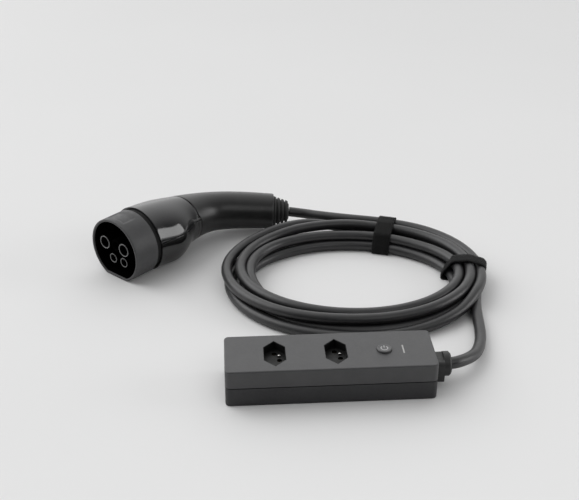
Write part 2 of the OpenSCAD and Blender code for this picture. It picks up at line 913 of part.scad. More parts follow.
module head_cover() {
    ts = [for (i = [0:16]) cover_reach * (1 - pow(1 - i / 16.5, 1.3))];
    color("#2e2e30")
        place_handle()
            skin_strip(
                ts,
                [for (t = ts) 90 - cover_half(t)],
                [for (t = ts) 90 + cover_half(t)],
                0, skin_t, 16
            );
}

module lower_cover() {
    ts = [for (i = [0:16]) cover_reach * (1 - pow(1 - i / 16.5, 1.3))];
    gap = [for (t = ts) cover_half(t) + seam_gap / bezier(grip_radii, t) * 57.3];
    color("#262628")
        place_handle()
            skin_strip(
                ts,
                [for (g = gap) 90 + g],
                [for (g = gap) 450 - g],
                0, skin_t, 20
            );
}

module grip_sleeve() {
    color("#2a2a2a")
        place_handle()
            skin_tube(cover_reach + 0.014, 1, 0, skin_t, 14, 32);
}

// Radius of the hollow inside the handle's housing at t
function grip_hollow(t) = bezier(grip_radii, t) - skin_t - housing_wall;

// Stands a piece drawn round +Z at the grip's end, pointing away from it
module at_grip_end() {
    d = bezier_dir(grip_path, 1);
    translate(grip_path[3])
        rotate([0, acos(d[2]), atan2(d[1], d[0])])
            children();
}

module strain_relief() {
    pitch = relief_l / rib_count;
    hold_r = min(grip_hollow(0.9), grip_hollow(1)) - 2 * play;
    color("#1a1a1a")
        place_handle()
            at_grip_end()
                difference() {
                    union() {
                        translate([0, 0, -relief_hold])
                            cylinder(r = hold_r, h = relief_hold);
                        cylinder(d1 = relief_d, d2 = relief_tip_d, h = relief_l);
                    }
                    translate([0, 0, -relief_hold - 1])
                        cylinder(d = cord_d - 0.2, h = relief_l + relief_hold + 2);
                    for (i = [1:rib_count - 1])
                        translate([0, 0, i * pitch - pitch * 0.15])
                            difference() {
                                cylinder(d = relief_d + 2, h = pitch * 0.45);
                                cylinder(
                                    d = relief_d + (relief_tip_d - relief_d) * i / rib_count - 2 * groove_depth,
                                    h = pitch
                                );
                            }
                }
}

module handle_cord_clamp() {
    d_out = 2 * min(grip_hollow(0.85), grip_hollow(0.97)) - 6 * play;
    color("#4a4a4a")
        place_handle()
            at_grip_end()
                translate([0, 0, -relief_hold - 8])
                    difference() {
                        cylinder(d = d_out, h = 8);
                        translate([0, 0, -1])
                            cylinder(d = cord_d, h = 10);
                        translate([0, -1, -1])
                            cube([d_out, 2, 10]);
                    }
}

module coding_board() {
    color("#1f5a3a")
        place_handle()
            on_nose(sleeve_end)
                translate([-small_spread / 2 - 4, -small_drop - 4, 0])
                    cube([small_spread + 8, 12, 1.6]);
}

box_base();
box_lid();
box_seal();
outlet_insert(outlet_x[0]);  // outlet_insert_1
outlet_insert(outlet_x[1]);  // outlet_insert_2
line_bar();
neutral_bar();
earth_bar();
control_board();
push_switch();
switch_plunger();
button_cap();
light_bar();
status_led();
relay();
case_screws();
gland_body();
gland_nut();
gland_ring_seal();
lead_to_box();
cable_coil();
lead_to_handle();
strap_back();
strap_side();
nose_shell();
contact_carrier();
line_sleeve();
neutral_sleeve();
earth_sleeve();
pilot_sleeve();
proximity_sleeve();
nose_gasket();
handle_housing();
head_cover();
lower_cover();
grip_sleeve();
strain_relief();
handle_cord_clamp();
coding_board();
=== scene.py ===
import math

import bmesh
import bpy
from mathutils import Matrix, Vector


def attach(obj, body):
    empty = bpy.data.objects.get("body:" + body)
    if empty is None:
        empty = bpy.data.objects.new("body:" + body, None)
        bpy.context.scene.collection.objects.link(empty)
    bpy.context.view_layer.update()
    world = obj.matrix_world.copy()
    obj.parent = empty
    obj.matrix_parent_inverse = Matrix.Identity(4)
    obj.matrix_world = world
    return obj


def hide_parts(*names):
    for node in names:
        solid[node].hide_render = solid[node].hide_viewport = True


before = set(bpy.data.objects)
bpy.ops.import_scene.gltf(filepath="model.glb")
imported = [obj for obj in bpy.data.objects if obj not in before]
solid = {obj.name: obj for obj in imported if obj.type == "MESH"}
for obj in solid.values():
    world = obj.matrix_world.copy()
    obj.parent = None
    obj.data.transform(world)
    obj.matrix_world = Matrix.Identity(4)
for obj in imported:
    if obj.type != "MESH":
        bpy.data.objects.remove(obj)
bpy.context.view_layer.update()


# The camera stands in front of the socket box and looks down over it at the coil and the handle,
# with a long lens and no shift.
def placed(name, data):
    """A new object in the scene that holds a camera, a curve, a mesh or a lamp."""
    thing = bpy.data.objects.new(name, data)
    bpy.context.scene.collection.objects.link(thing)
    return thing


camera_data = bpy.data.cameras.new("photo_camera")
camera_data.lens = 65.9
camera_data.sensor_width = 36
camera = placed("photo_camera", camera_data)
camera.location = (-0.0777, -0.7101, 0.5107)
camera.rotation_euler = Vector((0.0560, 0.8779, -0.4756)).to_track_quat("-Z", "Y").to_euler()
bpy.context.scene.camera = camera
bpy.context.scene.view_settings.view_transform = "Standard"


# Cord: a three-core mains cord 10 mm thick with a smooth rubber sheath. It leaves the box's gland,
# dives under the coil, lies in five loose turns and goes on into the handle's strain relief.
cord_thick = 10.0
coil_middle = (38.0, 160.0)
coil_long = 108.0
coil_wide = 87.0
coil_swell = 5.0
# Each entry: degrees round the coil, distance outside its middle line, height of the cord's axis
coil_turns = [
    (-10, 9.8, 5.1), (4, 9, 5.3), (45, 8.5, 7.4), (67, 8.6, 7.6), (84, 9.6, 9), (92, 10.8, 11.5),
    (100, 11.6, 15), (111, 12, 17.7), (122, 12, 17.9), (135, 12, 16.3), (155, 11.8, 15.3),
    (180, 11.6, 15.5), (225, 6.5, 15), (270, 0, 14.5), (315, 1.2, 15.3), (330, 2.4, 15.8),
    (360, 3.3, 16.6), (382, 2.6, 17.2), (405, 1.6, 17.3), (427, 1.5, 17.3), (450, 1.5, 18.8),
    (472, 1, 18.8), (495, 0, 17.6), (517, -1, 17), (540, -1.7, 16.9), (585, -6, 15.8),
    (630, -10.5, 14), (675, -9.8, 14.3), (720, -7.2, 14.6), (765, -13, 13.4), (787, -13.2, 13.3),
    (810, -13, 13.4), (832, -11.5, 13.8), (855, -10.4, 14.4), (880, -10.6, 14.9),
    (905, -10.8, 13.4), (945, -10.5, 6), (990, -6.5, 5), (1035, -7, 5), (1080, -12, 5.2),
    (1125, -18.3, 5.2), (1147, -18.6, 5.2), (1170, -18.3, 5.1), (1200, -16.5, 5), (1215, -15, 5),
    (1260, -5.5, 5), (1305, 0.6, 5), (1350, 3.6, 5), (1395, 3.2, 5), (1440, -1.4, 5.3),
    (1485, -2.5, 7.5), (1507, -2.5, 7.6), (1530, -1.5, 7), (1575, 5, 5), (1620, 9, 5),
    (1665, 12.5, 5), (1710, 14, 5), (1755, 13.4, 8.5), (1778, 13.2, 14.6), (1800, 13.2, 14.6),
    (1822, 12.2, 16.3), (1845, 11.8, 17.4), (1867, 11.9, 17.5), (1872, 12.3, 17.7),
]
cord_from_box = [
    (94, 0, 16), (99, 0, 16), (103, 0.9, 15.8), (107, 2.9, 15.2), (114, 8.4, 13.4),
    (120, 14.7, 11.4), (125.4, 21.9, 9.4), (130.2, 31.2, 7.6), (134.4, 42.2, 6.2),
    (138.2, 56.6, 5.2), (140.8, 73, 5.1), (142.5, 88, 5.1), (145, 105, 5.1), (149, 123, 5.1),
]
cord_to_handle = [
    (50, 261.3, 18.2), (38, 265.3, 18), (28, 269, 17.7), (18, 273, 17.4), (9, 276.9, 17.1),
    (1, 279.9, 17.2), (-7, 281.3, 17.9), (-15, 281.6, 19.1),
]


def lie_of_turn(angle):
    """Distance outside the coil's middle line and height of the cord, eased from entry to entry."""
    k = max(i for i in range(len(coil_turns) - 1) if coil_turns[i][0] <= angle)
    a, b = coil_turns[k], coil_turns[k + 1]
    before = coil_turns[k - 1] if k else a
    after = coil_turns[k + 2] if k + 2 < len(coil_turns) else b
    f = (angle - a[0]) / (b[0] - a[0])
    lie = []
    for j in (1, 2):
        rise = b[j] - a[j]
        start = (b[j] - before[j]) / (b[0] - before[0]) * (b[0] - a[0]) if k else 0
        stop = (after[j] - a[j]) / (after[0] - a[0]) * (b[0] - a[0]) if after is not b else 0
        if rise * (a[j] - before[j]) <= 0:
            start = 0
        if (after[j] - b[j]) * rise <= 0:
            stop = 0
        lie.append(
            (2 * f**3 - 3 * f**2 + 1) * a[j] + (f**3 - 2 * f**2 + f) * start
            + (3 * f**2 - 2 * f**3) * b[j] + (f**3 - f**2) * stop
        )
    return lie


def coil_point(angle, out, up):
    """A point in metres at an angle round the coil, whose left end swells to the back."""
    c, s = math.cos(math.radians(angle)), math.sin(math.radians(angle))
    outward = Vector((coil_wide * c, coil_long * s, 0)).normalized()
    swell = coil_swell * ((1 - c) / 2) ** 2
    at = Vector((coil_middle[0] + coil_long * c, coil_middle[1] + coil_wide * s + swell, up))
    return (at + outward * out) / 1000


cord_points = [Vector(p) / 1000 for p in cord_from_box]
turn_steps = 250
for i in range(turn_steps + 1):
    angle = coil_turns[0][0] + (coil_turns[-1][0] - coil_turns[0][0]) * i / turn_steps
    cord_points.append(coil_point(angle, *lie_of_turn(angle)))
cord_points += [Vector(p) / 1000 for p in cord_to_handle]
cord_curve = bpy.data.curves.new("cord", "CURVE")
cord_curve.dimensions = "3D"
cord_curve.bevel_depth = cord_thick / 2000
cord_curve.bevel_resolution = 8
cord_curve.resolution_u = 3
cord_curve.use_fill_caps = True
cord_spline = cord_curve.splines.new("BEZIER")
cord_spline.bezier_points.add(len(cord_points) - 1)
for knot, p in zip(cord_spline.bezier_points, cord_points):
    knot.co = p
    knot.handle_left_type = "AUTO"
    knot.handle_right_type = "AUTO"
cord = placed("cord", cord_curve)


def nodes_of(material):
    """Empties a material's tree down to one Principled shader. Returns the tree, the shader and
    the place on the object, in metres."""
    material.use_nodes = True
    tree = material.node_tree
    tree.nodes.clear()
    out = tree.nodes.new("ShaderNodeOutputMaterial")
    shader = tree.nodes.new("ShaderNodeBsdfPrincipled")
    tree.links.new(shader.outputs["BSDF"], out.inputs["Surface"])
    return tree, shader, tree.nodes.new("ShaderNodeTexCoord").outputs["Object"]


def noise_at(tree, vector, scale, detail):
    """A noise over a surface, whose spots are about a metre divided by the scale across."""
    noise = tree.nodes.new("ShaderNodeTexNoise")
    noise.inputs["Scale"].default_value = scale
    noise.inputs["Detail"].default_value = detail
    tree.links.new(vector, noise.inputs["Vector"])
    return noise.outputs["Fac"]


def spread(tree, value, low, high):
    """Maps a noise value from its usual 0.3 to 0.7 onto low to high."""
    ranged = tree.nodes.new("ShaderNodeMapRange")
    ranged.inputs["From Min"].default_value = 0.3
    ranged.inputs["From Max"].default_value = 0.7
    ranged.inputs["To Min"].default_value = low
    ranged.inputs["To Max"].default_value = high
    tree.links.new(value, ranged.inputs["Value"])
    return ranged.outputs["Result"]


def tint(tree, value, dark, light, socket):
    """Colours a surface between two close shades by a noise value."""
    mix = tree.nodes.new("ShaderNodeMix")
    mix.data_type = "RGBA"
    mix.inputs["A"].default_value = (*dark, 1)
    mix.inputs["B"].default_value = (*light, 1)
    tree.links.new(value, mix.inputs["Factor"])
    tree.links.new(mix.outputs["Result"], socket)


def relief_bump(tree, height, distance, strength, below=None):
    """Fine relief from a height value, laid over another relief if one is given."""
    bump = tree.nodes.new("ShaderNodeBump")
    bump.inputs["Distance"].default_value = distance
    bump.inputs["Strength"].default_value = strength
    tree.links.new(height, bump.inputs["Height"])
    if below:
        tree.links.new(below, bump.inputs["Normal"])
    return bump.outputs["Normal"]


sheath = bpy.data.materials.new("rubber_sheath")
tree, shader, here = nodes_of(sheath)
shader.inputs["IOR"].default_value = 1.6
tint(tree, spread(tree, noise_at(tree, here, 90, 3), 0, 1), (0.013, 0.013, 0.014),
     (0.019, 0.019, 0.020), shader.inputs["Base Color"])
tree.links.new(spread(tree, noise_at(tree, here, 350, 4), 0.36, 0.44), shader.inputs["Roughness"])
lay_of_cores = relief_bump(tree, noise_at(tree, here, 70, 1), 0.0006, 0.25)
skin_grain = relief_bump(tree, noise_at(tree, here, 4200, 2), 0.00006, 0.5, lay_of_cores)
tree.links.new(skin_grain, shader.inputs["Normal"])
cord_curve.materials.append(sheath)


# Two hook-and-loop straps, 17 and 14 mm wide, hold the turns together. Each is woven tape with a
# loop pile outside, pulled tight round all six strands and pressed shut over its own end. The one
# at the side lies askew.
strap_thick = 1.4
strap_gap = 0.25
strap_edge = 0.4
strap_lap = 32.0
strap_floor = 0.05


def link_mesh(name, points, faces, material, smooth=True):
    """A mesh object from points in metres and the faces between them."""
    mesh = bpy.data.meshes.new(name)
    mesh.from_pydata([tuple(p) for p in points], [], faces)
    mesh.materials.append(material)
    mesh.polygons.foreach_set("use_smooth", [smooth] * len(mesh.polygons))
    return placed(name, mesh)


def recalc_outward(piece):
    """Turns all faces of a closed piece outward."""
    shell = bmesh.new()
    shell.from_mesh(piece.data)
    bmesh.ops.recalc_face_normals(shell, faces=shell.faces)
    shell.to_mesh(piece.data)
    shell.free()


def grid_faces(rows, columns, close_rows, close_columns):
    """Quads of a grid whose points are listed row by row."""
    faces = []
    for i in range(rows if close_rows else rows - 1):
        for j in range(columns if close_columns else columns - 1):
            a, b = i * columns, (i + 1) % rows * columns
            k = (j + 1) % columns
            faces.append((a + j, a + k, b + k, b + j))
    return faces


def tight_outline(circles, radius):
    """Points of the shortest loop round a set of circles, anticlockwise."""
    turns = [math.radians(6 * k) for k in range(60)]
    dots = sorted(
        (out + radius * math.cos(turn), up + radius * math.sin(turn))
        for out, up in circles for turn in turns
    )
    halves = []
    for run in (dots, dots[::-1]):
        half = []
        for p in run:
            while len(half) > 1 and (
                (half[-1][0] - half[-2][0]) * (p[1] - half[-2][1])
                - (half[-1][1] - half[-2][1]) * (p[0] - half[-2][0])
            ) <= 0:
                half.pop()
            half.append(p)
        halves.append(half[:-1])
    return [Vector(p) for p in halves[0] + halves[1]]


def even_loop(loop, count):
    """The loop at even steps, each with its outward normal, and the loop's length."""
    ends = loop + [loop[0]]
    runs = [(ends[i + 1] - ends[i]).length for i in range(len(loop))]
    whole = sum(runs)
    spots, i, gone = [], 0, 0.0
    for k in range(count):
        want = whole * k / count
        while gone + runs[i] < want:
            gone += runs[i]
            i += 1
        spots.append(ends[i].lerp(ends[i + 1], (want - gone) / runs[i]))
    spots = [(spots[k - 1] + 2 * spots[k] + spots[(k + 1) % count]) / 4 for k in range(count)]
    sides = []
    for k in range(count):
        along = spots[(k + 1) % count] - spots[k - 1]
        sides.append(Vector((along.y, -along.x)).normalized())
    return spots, sides, whole


def strap_band(name, angle, twist, width, start, material):
    """A strap of a width round the coil at an angle, turned askew by a twist in degrees."""
    c, s = math.cos(math.radians(angle)), math.sin(math.radians(angle))
    twist = math.radians(twist)
    pace = math.hypot(coil_long * s, coil_wide * c)
    circles = []
    turn = angle
    while turn <= coil_turns[-1][0]:
        ahead = math.degrees(lie_of_turn(turn)[0] * math.tan(twist) / pace)
        out, up = lie_of_turn(turn + ahead)
        circles.append((out / math.cos(twist), up))
        turn += 360
    steps = 150
    loop = tight_outline(circles, cord_thick / 2 / math.cos(twist) + strap_gap + strap_thick / 2)
    spots, sides, whole = even_loop(loop, steps)
    lap = round(strap_lap / whole * steps)
    outward = Vector((coil_wide * c, coil_long * s, 0)).normalized()
    outward = Matrix.Rotation(twist, 3, "Z") @ outward
    along = Vector((-outward.y, outward.x, 0))
    base = coil_point(angle, 0, 0) * 1000
    w, t, e = width / 2, strap_thick / 2, strap_edge
    rim = [(-w, -t + e), (-w + e, -t), (-w / 2, -t), (0, -t), (w / 2, -t), (w - e, -t), (w, -t + e),
           (w, t - e), (w - e, t), (w / 2, t), (0, t), (-w / 2, t), (-w + e, t), (-w, t - e)]
    points, marks = [], []
    ramp = 8
    for k in range(steps + lap):
        lift = min(1, max(0, (k - steps + ramp) / ramp))
        lift = (3 * lift**2 - 2 * lift**3) * (strap_thick + 0.1)
        at = (k + start) % steps
        side = sides[at]
        middle = spots[at] + side * lift
        for x, y in rim:
            spot = middle + side * y
            if spot.y < strap_floor:
                spot.y = strap_floor
            points.append((base + outward * spot.x + Vector((0, 0, spot.y)) + along * x) / 1000)
            marks.append((k * whole / steps / 1000, x / 1000))
    n = len(rim)
    faces = grid_faces(steps + lap, n, False, True)
    faces += [tuple(range(n)), tuple((steps + lap - 1) * n + j for j in range(n - 1, -1, -1))]
    piece = link_mesh(name, points, faces, material)
    recalc_outward(piece)
    tape = piece.data.uv_layers.new(name="tape")
    for corner in piece.data.loops:
        tape.data[corner.index].uv = marks[corner.vertex_index]
    return piece


loop_tape = bpy.data.materials.new("loop_tape")
tree, shader, here = nodes_of(loop_tape)
tape_way = tree.nodes.new("ShaderNodeUVMap")
tape_way.uv_map = "tape"
weft = tree.nodes.new("ShaderNodeTexWave")
weft.wave_type = "BANDS"
weft.bands_direction = "X"
weft.inputs["Scale"].default_value = 330
weft.inputs["Distortion"].default_value = 1.5
weft.inputs["Detail Scale"].default_value = 3
tree.links.new(tape_way.outputs["UV"], weft.inputs["Vector"])
shader.inputs["Roughness"].default_value = 0.95
shader.inputs["Sheen Weight"].default_value = 0.1
shader.inputs["Sheen Roughness"].default_value = 0.5
shader.inputs["Specular IOR Level"].default_value = 0.25
tint(tree, noise_at(tree, here, 1500, 3), (0.002, 0.002, 0.002), (0.008, 0.008, 0.008),
     shader.inputs["Base Color"])
ribbing = relief_bump(tree, weft.outputs["Fac"], 0.0002, 0.5)
pile = relief_bump(tree, noise_at(tree, here, 2600, 4), 0.0004, 0.8, ribbing)
tree.links.new(pile, shader.inputs["Normal"])

pile_fibre = bpy.data.materials.new("pile_fibre")
tree, shader, here = nodes_of(pile_fibre)
shader.inputs["Roughness"].default_value = 0.8
shader.inputs["Specular IOR Level"].default_value = 0.3
tint(tree, noise_at(tree, here, 900, 2), (0.002, 0.002, 0.002), (0.010, 0.010, 0.010),
     shader.inputs["Base Color"])

# Fibres stand only on tape that lies this many metres off the floor, so none goes through it
pile_lowest = 0.0009
pile_tree = bpy.data.node_groups.new("loop_pile", "GeometryNodeTree")
pile_sockets = {}
for label, kind in (
    ("Geometry", "NodeSocketGeometry"), ("Density", "NodeSocketFloat"),
    ("Fibre Length", "NodeSocketFloat"), ("Fibre Thickness", "NodeSocketFloat"),
    ("Seed", "NodeSocketInt"), ("Material", "NodeSocketMaterial"),
):
    pile_sockets[label] = pile_tree.interface.new_socket(
        name=label, in_out="INPUT", socket_type=kind)
pile_tree.interface.new_socket(name="Geometry", in_out="OUTPUT", socket_type="NodeSocketGeometry")
given = pile_tree.nodes.new("NodeGroupInput")
on_tape = pile_tree.nodes.new("GeometryNodeInputPosition")
on_tape_parts = pile_tree.nodes.new("ShaderNodeSeparateXYZ")
off_floor = pile_tree.nodes.new("FunctionNodeCompare")
off_floor.data_type = "FLOAT"
off_floor.operation = "GREATER_THAN"
off_floor.inputs["B"].default_value = pile_lowest
scatter = pile_tree.nodes.new("GeometryNodeDistributePointsOnFaces")
fibre = pile_tree.nodes.new("GeometryNodeMeshCone")
fibre.inputs["Vertices"].default_value = 3
fibre.inputs["Radius Top"].default_value = 0.00002
stand = pile_tree.nodes.new("GeometryNodeInstanceOnPoints")
lean = pile_tree.nodes.new("FunctionNodeRandomValue")
lean.data_type = "FLOAT_VECTOR"
lean.inputs["Min"].default_value = (-1.1, -1.1, -3.1)
lean.inputs["Max"].default_value = (1.1, 1.1, 3.1)
leaning = pile_tree.nodes.new("FunctionNodeRotateRotation")
leaning.rotation_space = "LOCAL"
to_turn = pile_tree.nodes.new("FunctionNodeEulerToRotation")
real = pile_tree.nodes.new("GeometryNodeRealizeInstances")
dress = pile_tree.nodes.new("GeometryNodeSetMaterial")
given_out = pile_tree.nodes.new("NodeGroupOutput")
link = pile_tree.links.new
link(given.outputs["Geometry"], scatter.inputs["Mesh"])
link(on_tape.outputs["Position"], on_tape_parts.inputs["Vector"])
link(on_tape_parts.outputs["Z"], off_floor.inputs["A"])
link(off_floor.outputs["Result"], scatter.inputs["Selection"])
link(given.outputs["Density"], scatter.inputs["Density"])
link(given.outputs["Seed"], scatter.inputs["Seed"])
link(given.outputs["Seed"], lean.inputs["Seed"])
link(given.outputs["Fibre Length"], fibre.inputs["Depth"])
link(given.outputs["Fibre Thickness"], fibre.inputs["Radius Bottom"])
link(scatter.outputs["Points"], stand.inputs["Points"])
link(fibre.outputs["Mesh"], stand.inputs["Instance"])
link(lean.outputs["Value"], to_turn.inputs["Euler"])
link(scatter.outputs["Rotation"], leaning.inputs["Rotation"])
link(to_turn.outputs["Rotation"], leaning.inputs["Rotate By"])
link(leaning.outputs["Rotation"], stand.inputs["Rotation"])
link(stand.outputs["Instances"], real.inputs["Geometry"])
link(real.outputs["Geometry"], dress.inputs["Geometry"])
link(given.outputs["Material"], dress.inputs["Material"])
link(dress.outputs["Geometry"], given_out.inputs["Geometry"])


def baked_from(tree, sockets, values, carrier, name):
    """Runs a node tree on a carrier object and keeps the result as a plain mesh."""
    modifier = carrier.modifiers.new("maker", "NODES")
    modifier.node_group = tree
    for label, value in values.items():
        modifier[sockets[label].identifier] = value
    made = carrier.evaluated_get(bpy.context.evaluated_depsgraph_get())
    mesh = bpy.data.meshes.new_from_object(made)
    carrier.modifiers.remove(modifier)
    mesh.name = name
    return placed(name, mesh)


# Each strap: its node, degrees round the coil, twist, width in mm, where its tape starts, seed
for label, angle, twist, width, start, seed in (
    ("strap_back", 67, 0, 17, 5, 11), ("strap_side", 3, -20, 14, 5, 12)
):
    band = strap_band(label + "_tape", angle, twist, width, start, loop_tape)
    bpy.context.view_layer.update()
    nap = baked_from(
        pile_tree, pile_sockets,
        {"Density": 1.6e6, "Fibre Length": 0.0007, "Fibre Thickness": 0.00007, "Seed": seed,
         "Material": pile_fibre},
        band, label + "_pile",
    )
    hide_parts(label)
    for piece in (band, nap):
        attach(piece, "adapter")

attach(cord, "adapter")
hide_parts("lead_to_box", "cable_coil", "lead_to_handle")


# Socket box: a lid and a base, both injection moulded in dark grey ABS with a fine spark-eroded
# texture, screwed together from below over a rubber seal that shows as a thin dark line.
def moulded_plastic(name, dark, light, rough_low, rough_high, grain, depth, strength, shine=0.5):
    """Plastic or rubber with a faint mottle, a moulded grain and slow waves in its face."""
    material = bpy.data.materials.new(name)
    tree, shader, here = nodes_of(material)
    shader.inputs["IOR"].default_value = 1.5
    shader.inputs["Specular IOR Level"].default_value = shine
    tint(tree, spread(tree, noise_at(tree, here, 60, 4), 0, 1), dark, light,
         shader.inputs["Base Color"])
    tree.links.new(spread(tree, noise_at(tree, here, grain / 6, 3), rough_low, rough_high),
                   shader.inputs["Roughness"])
    flow = relief_bump(tree, noise_at(tree, here, 25, 1), 0.0004, 0.08)
    tree.links.new(relief_bump(tree, noise_at(tree, here, grain, 3), depth, strength, flow),
                   shader.inputs["Normal"])
    return material


def dress_solid(material, *names):
    """Gives CAD solids that keep their own shape a finish."""
    for name in names:
        slots = solid[name].material_slots
        if slots:
            for held in slots:
                held.material = material
        else:
            solid[name].data.materials.append(material)


lid_plastic = moulded_plastic("lid_plastic", (0.044, 0.044, 0.046), (0.053, 0.053, 0.055),
                              0.42, 0.5, 2600, 0.0001, 0.5, 0.6)
base_plastic = moulded_plastic("base_plastic", (0.022, 0.022, 0.024), (0.028, 0.028, 0.030),
                               0.52, 0.64, 2600, 0.00012, 0.5)
black_rubber = moulded_plastic("black_rubber", (0.010, 0.010, 0.010), (0.016, 0.016, 0.016),
                               0.72, 0.86, 1500, 0.00008, 0.4)
dress_solid(lid_plastic, "box_lid")
dress_solid(base_plastic, "box_base")
dress_solid(black_rubber, "box_seal", "gland_ring_seal", "nose_gasket")


# Four steel case screws go up through the base into the lid's posts. Their hexagon sockets are
# seen at the bottom of the pockets when the box is turned over.
def bright_metal(name, colour, rough_low, rough_high):
    """Plain or plated metal with a faint rubbed grain."""
    material = bpy.data.materials.new(name)
    tree, shader, here = nodes_of(material)
    shader.inputs["Metallic"].default_value = 1.0
    lighter = tuple(min(1, c * 1.15) for c in colour)
    tint(tree, spread(tree, noise_at(tree, here, 400, 3), 0, 1), colour, lighter,
         shader.inputs["Base Color"])
    tree.links.new(spread(tree, noise_at(tree, here, 1600, 4), rough_low, rough_high),
                   shader.inputs["Roughness"])
    tree.links.new(relief_bump(tree, noise_at(tree, here, 3000, 2), 0.00003, 0.3),
                   shader.inputs["Normal"])
    return material


zinc_steel = bright_metal("zinc_steel", (0.48, 0.48, 0.50), 0.28, 0.42)
dress_solid(zinc_steel, "case_screws")


# Outlets: two black inserts held under the lid, each a deep six-sided recess with line, neutral
# and earth holes. The inserts are painted darker than black plastic, as painted shade for the deep
# recesses. A thin lip of the insert lines the lid's cutout and carries that painted shade up to
# the top edge, brass bars with sprung sleeves run below the holes, and the end of a plated spring
# clip shows beside each earth hole.
outlet_middles = ((-44.5, -1.2), (5.0, -1.2))
outlet_rim = ((0, 18.2), (9, 9.4), (9, -9.4), (0, -18.2), (-9, -9.4), (-9, 9.4))
# Each entry: how far the lip's face stands out from the rim, and its height
lip_and_shade_profile = ((0.05, 25.8), (0.05, 32.35), (-0.05, 32.5), (-0.25, 32.52), (-0.4, 32.4),
               (-0.45, 32.1), (-0.45, 25.8))
clip_bend = ((-1.65, -0.14), (-1.35, 0.77), (-0.45, 1.33), (0.6, 1.33), (1.35, 0.84), (1.65, -0.14))
clip_wide = 1.8
clip_sheet = 0.42
clip_shift = (4.0, 5.9)
clip_foot = 25.6
# Black plastic with painted shade: near-black, darker than black plastic, for the shade deep in the
# recesses
insert_black_and_shade = moulded_plastic("insert_black_and_shade", (0.005, 0.005, 0.005), (0.008, 0.008, 0.008),
                                 0.38, 0.5, 2000, 0.00008, 0.4, 0.3)
contact_brass = bright_metal("contact_brass", (0.66, 0.46, 0.18), 0.22, 0.36)
contact_nickel = bright_metal("contact_nickel", (0.70, 0.69, 0.67), 0.16, 0.3)
dress_solid(insert_black_and_shade, "outlet_insert_1", "outlet_insert_2")
dress_solid(contact_brass, "line_bar", "neutral_bar", "earth_bar")

for number, (middle_x, middle_y) in enumerate(outlet_middles, 1):
    points = []
    for grow, height in lip_and_shade_profile:
        for x, y in outlet_rim:
            stretch = 1 + grow / (0.9 * math.hypot(x, y))
            points.append(Vector((middle_x + x * stretch, middle_y + y * stretch, height)) / 1000)
    # The lip lays the same painted shade over the lid's cut wall
    lip_and_shade = link_mesh("outlet_lip_%d" % number, points,
                    grid_faces(len(lip_and_shade_profile), len(outlet_rim), True, True),
                    insert_black_and_shade, smooth=False)
    recalc_outward(lip_and_shade)
    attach(lip_and_shade, "adapter")
    clip_x, clip_y = middle_x + clip_shift[0], middle_y + clip_shift[1]
    outer, inner = clip_wide / 2, clip_wide / 2 - 0.1
    points = []
    for x, up in clip_bend:
        under = up - clip_sheet if up > 0 else up
        for along, side, rise in ((x, outer, up), (x, -outer, up),
                                  (0.75 * x, -inner, under), (0.75 * x, inner, under)):
            points.append(Vector((clip_x + along, clip_y + side, clip_foot + rise)) / 1000)
    clip = link_mesh("earth_clip_%d" % number, points,
                     grid_faces(len(clip_bend), 4, False, True) + [(0, 1, 2, 3), (20, 23, 22, 21)],
                     contact_nickel)
    recalc_outward(clip)
    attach(clip, "adapter")


# Power button: a round dished cap of grey plastic that presses a switch under it. The sign on it,
# an open ring with a stroke, is the generic one and is printed in pale grey.
button_middle = (44.3, -1.2)
button_face = 34.4
dish_depth = 0.4
dish_radius = 5.0
sign_radius = 2.7
sign_half = 0.42
button_plastic = moulded_plastic("button_plastic", (0.085, 0.085, 0.087), (0.10, 0.10, 0.102),
                                 0.40, 0.5, 3000, 0.00006, 0.4)
dress_solid(button_plastic, "button_cap")
print_grey = moulded_plastic("print_grey", (0.36, 0.36, 0.36), (0.44, 0.44, 0.44),
                             0.45, 0.6, 3000, 0.00004, 0.3)


def dish_height(radius):
    """Height of the cap's face at a distance from its middle."""
    return button_face - dish_depth * max(0.0, 1 - (radius / dish_radius) ** 2)


def printed_stroke(sign, line, half_width):
    """A flat printed stroke that follows the dish, a few hundredths of a millimetre thick."""
    rows = []
    for k, at in enumerate(line):
        ahead = line[min(k + 1, len(line) - 1)] - line[max(k - 1, 0)]
        side = Vector((-ahead.y, ahead.x)).normalized() * half_width
        row = []
        for off, up in ((-1, -0.03), (-1, 0.05), (0, 0.06), (1, 0.05), (1, -0.03)):
            p = at + side * off
            z = dish_height(p.length) + up
            row.append(sign.verts.new((
                (button_middle[0] + p.x) / 1000, (button_middle[1] + p.y) / 1000, z / 1000)))
        rows.append(row)
    for a, b in zip(rows, rows[1:]):
        for k in range(5):
            m = (k + 1) % 5
            sign.faces.new((a[k], a[m], b[m], b[k]))
    sign.faces.new(rows[0])
    sign.faces.new(rows[-1][::-1])


def piece_of(form, name, material, smooth):
    """Closes a form with its faces turned outward into an object."""
    bmesh.ops.recalc_face_normals(form, faces=form.faces)
    mesh = bpy.data.meshes.new(name)
    form.to_mesh(mesh)
    form.free()
    mesh.materials.append(material)
    mesh.polygons.foreach_set("use_smooth", [smooth] * len(mesh.polygons))
    return placed(name, mesh)


sign = bmesh.new()
printed_stroke(sign, [
    Vector((sign_radius * math.sin(math.radians(a)), sign_radius * math.cos(math.radians(a))))
    for a in range(38, 323, 6)
], sign_half)
printed_stroke(sign, [Vector((0, y)) for y in (0.8, 1.4, 2.1, 2.8, 3.5)], sign_half)
power_sign = piece_of(sign, "power_sign", print_grey, False)
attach(power_sign, "button")


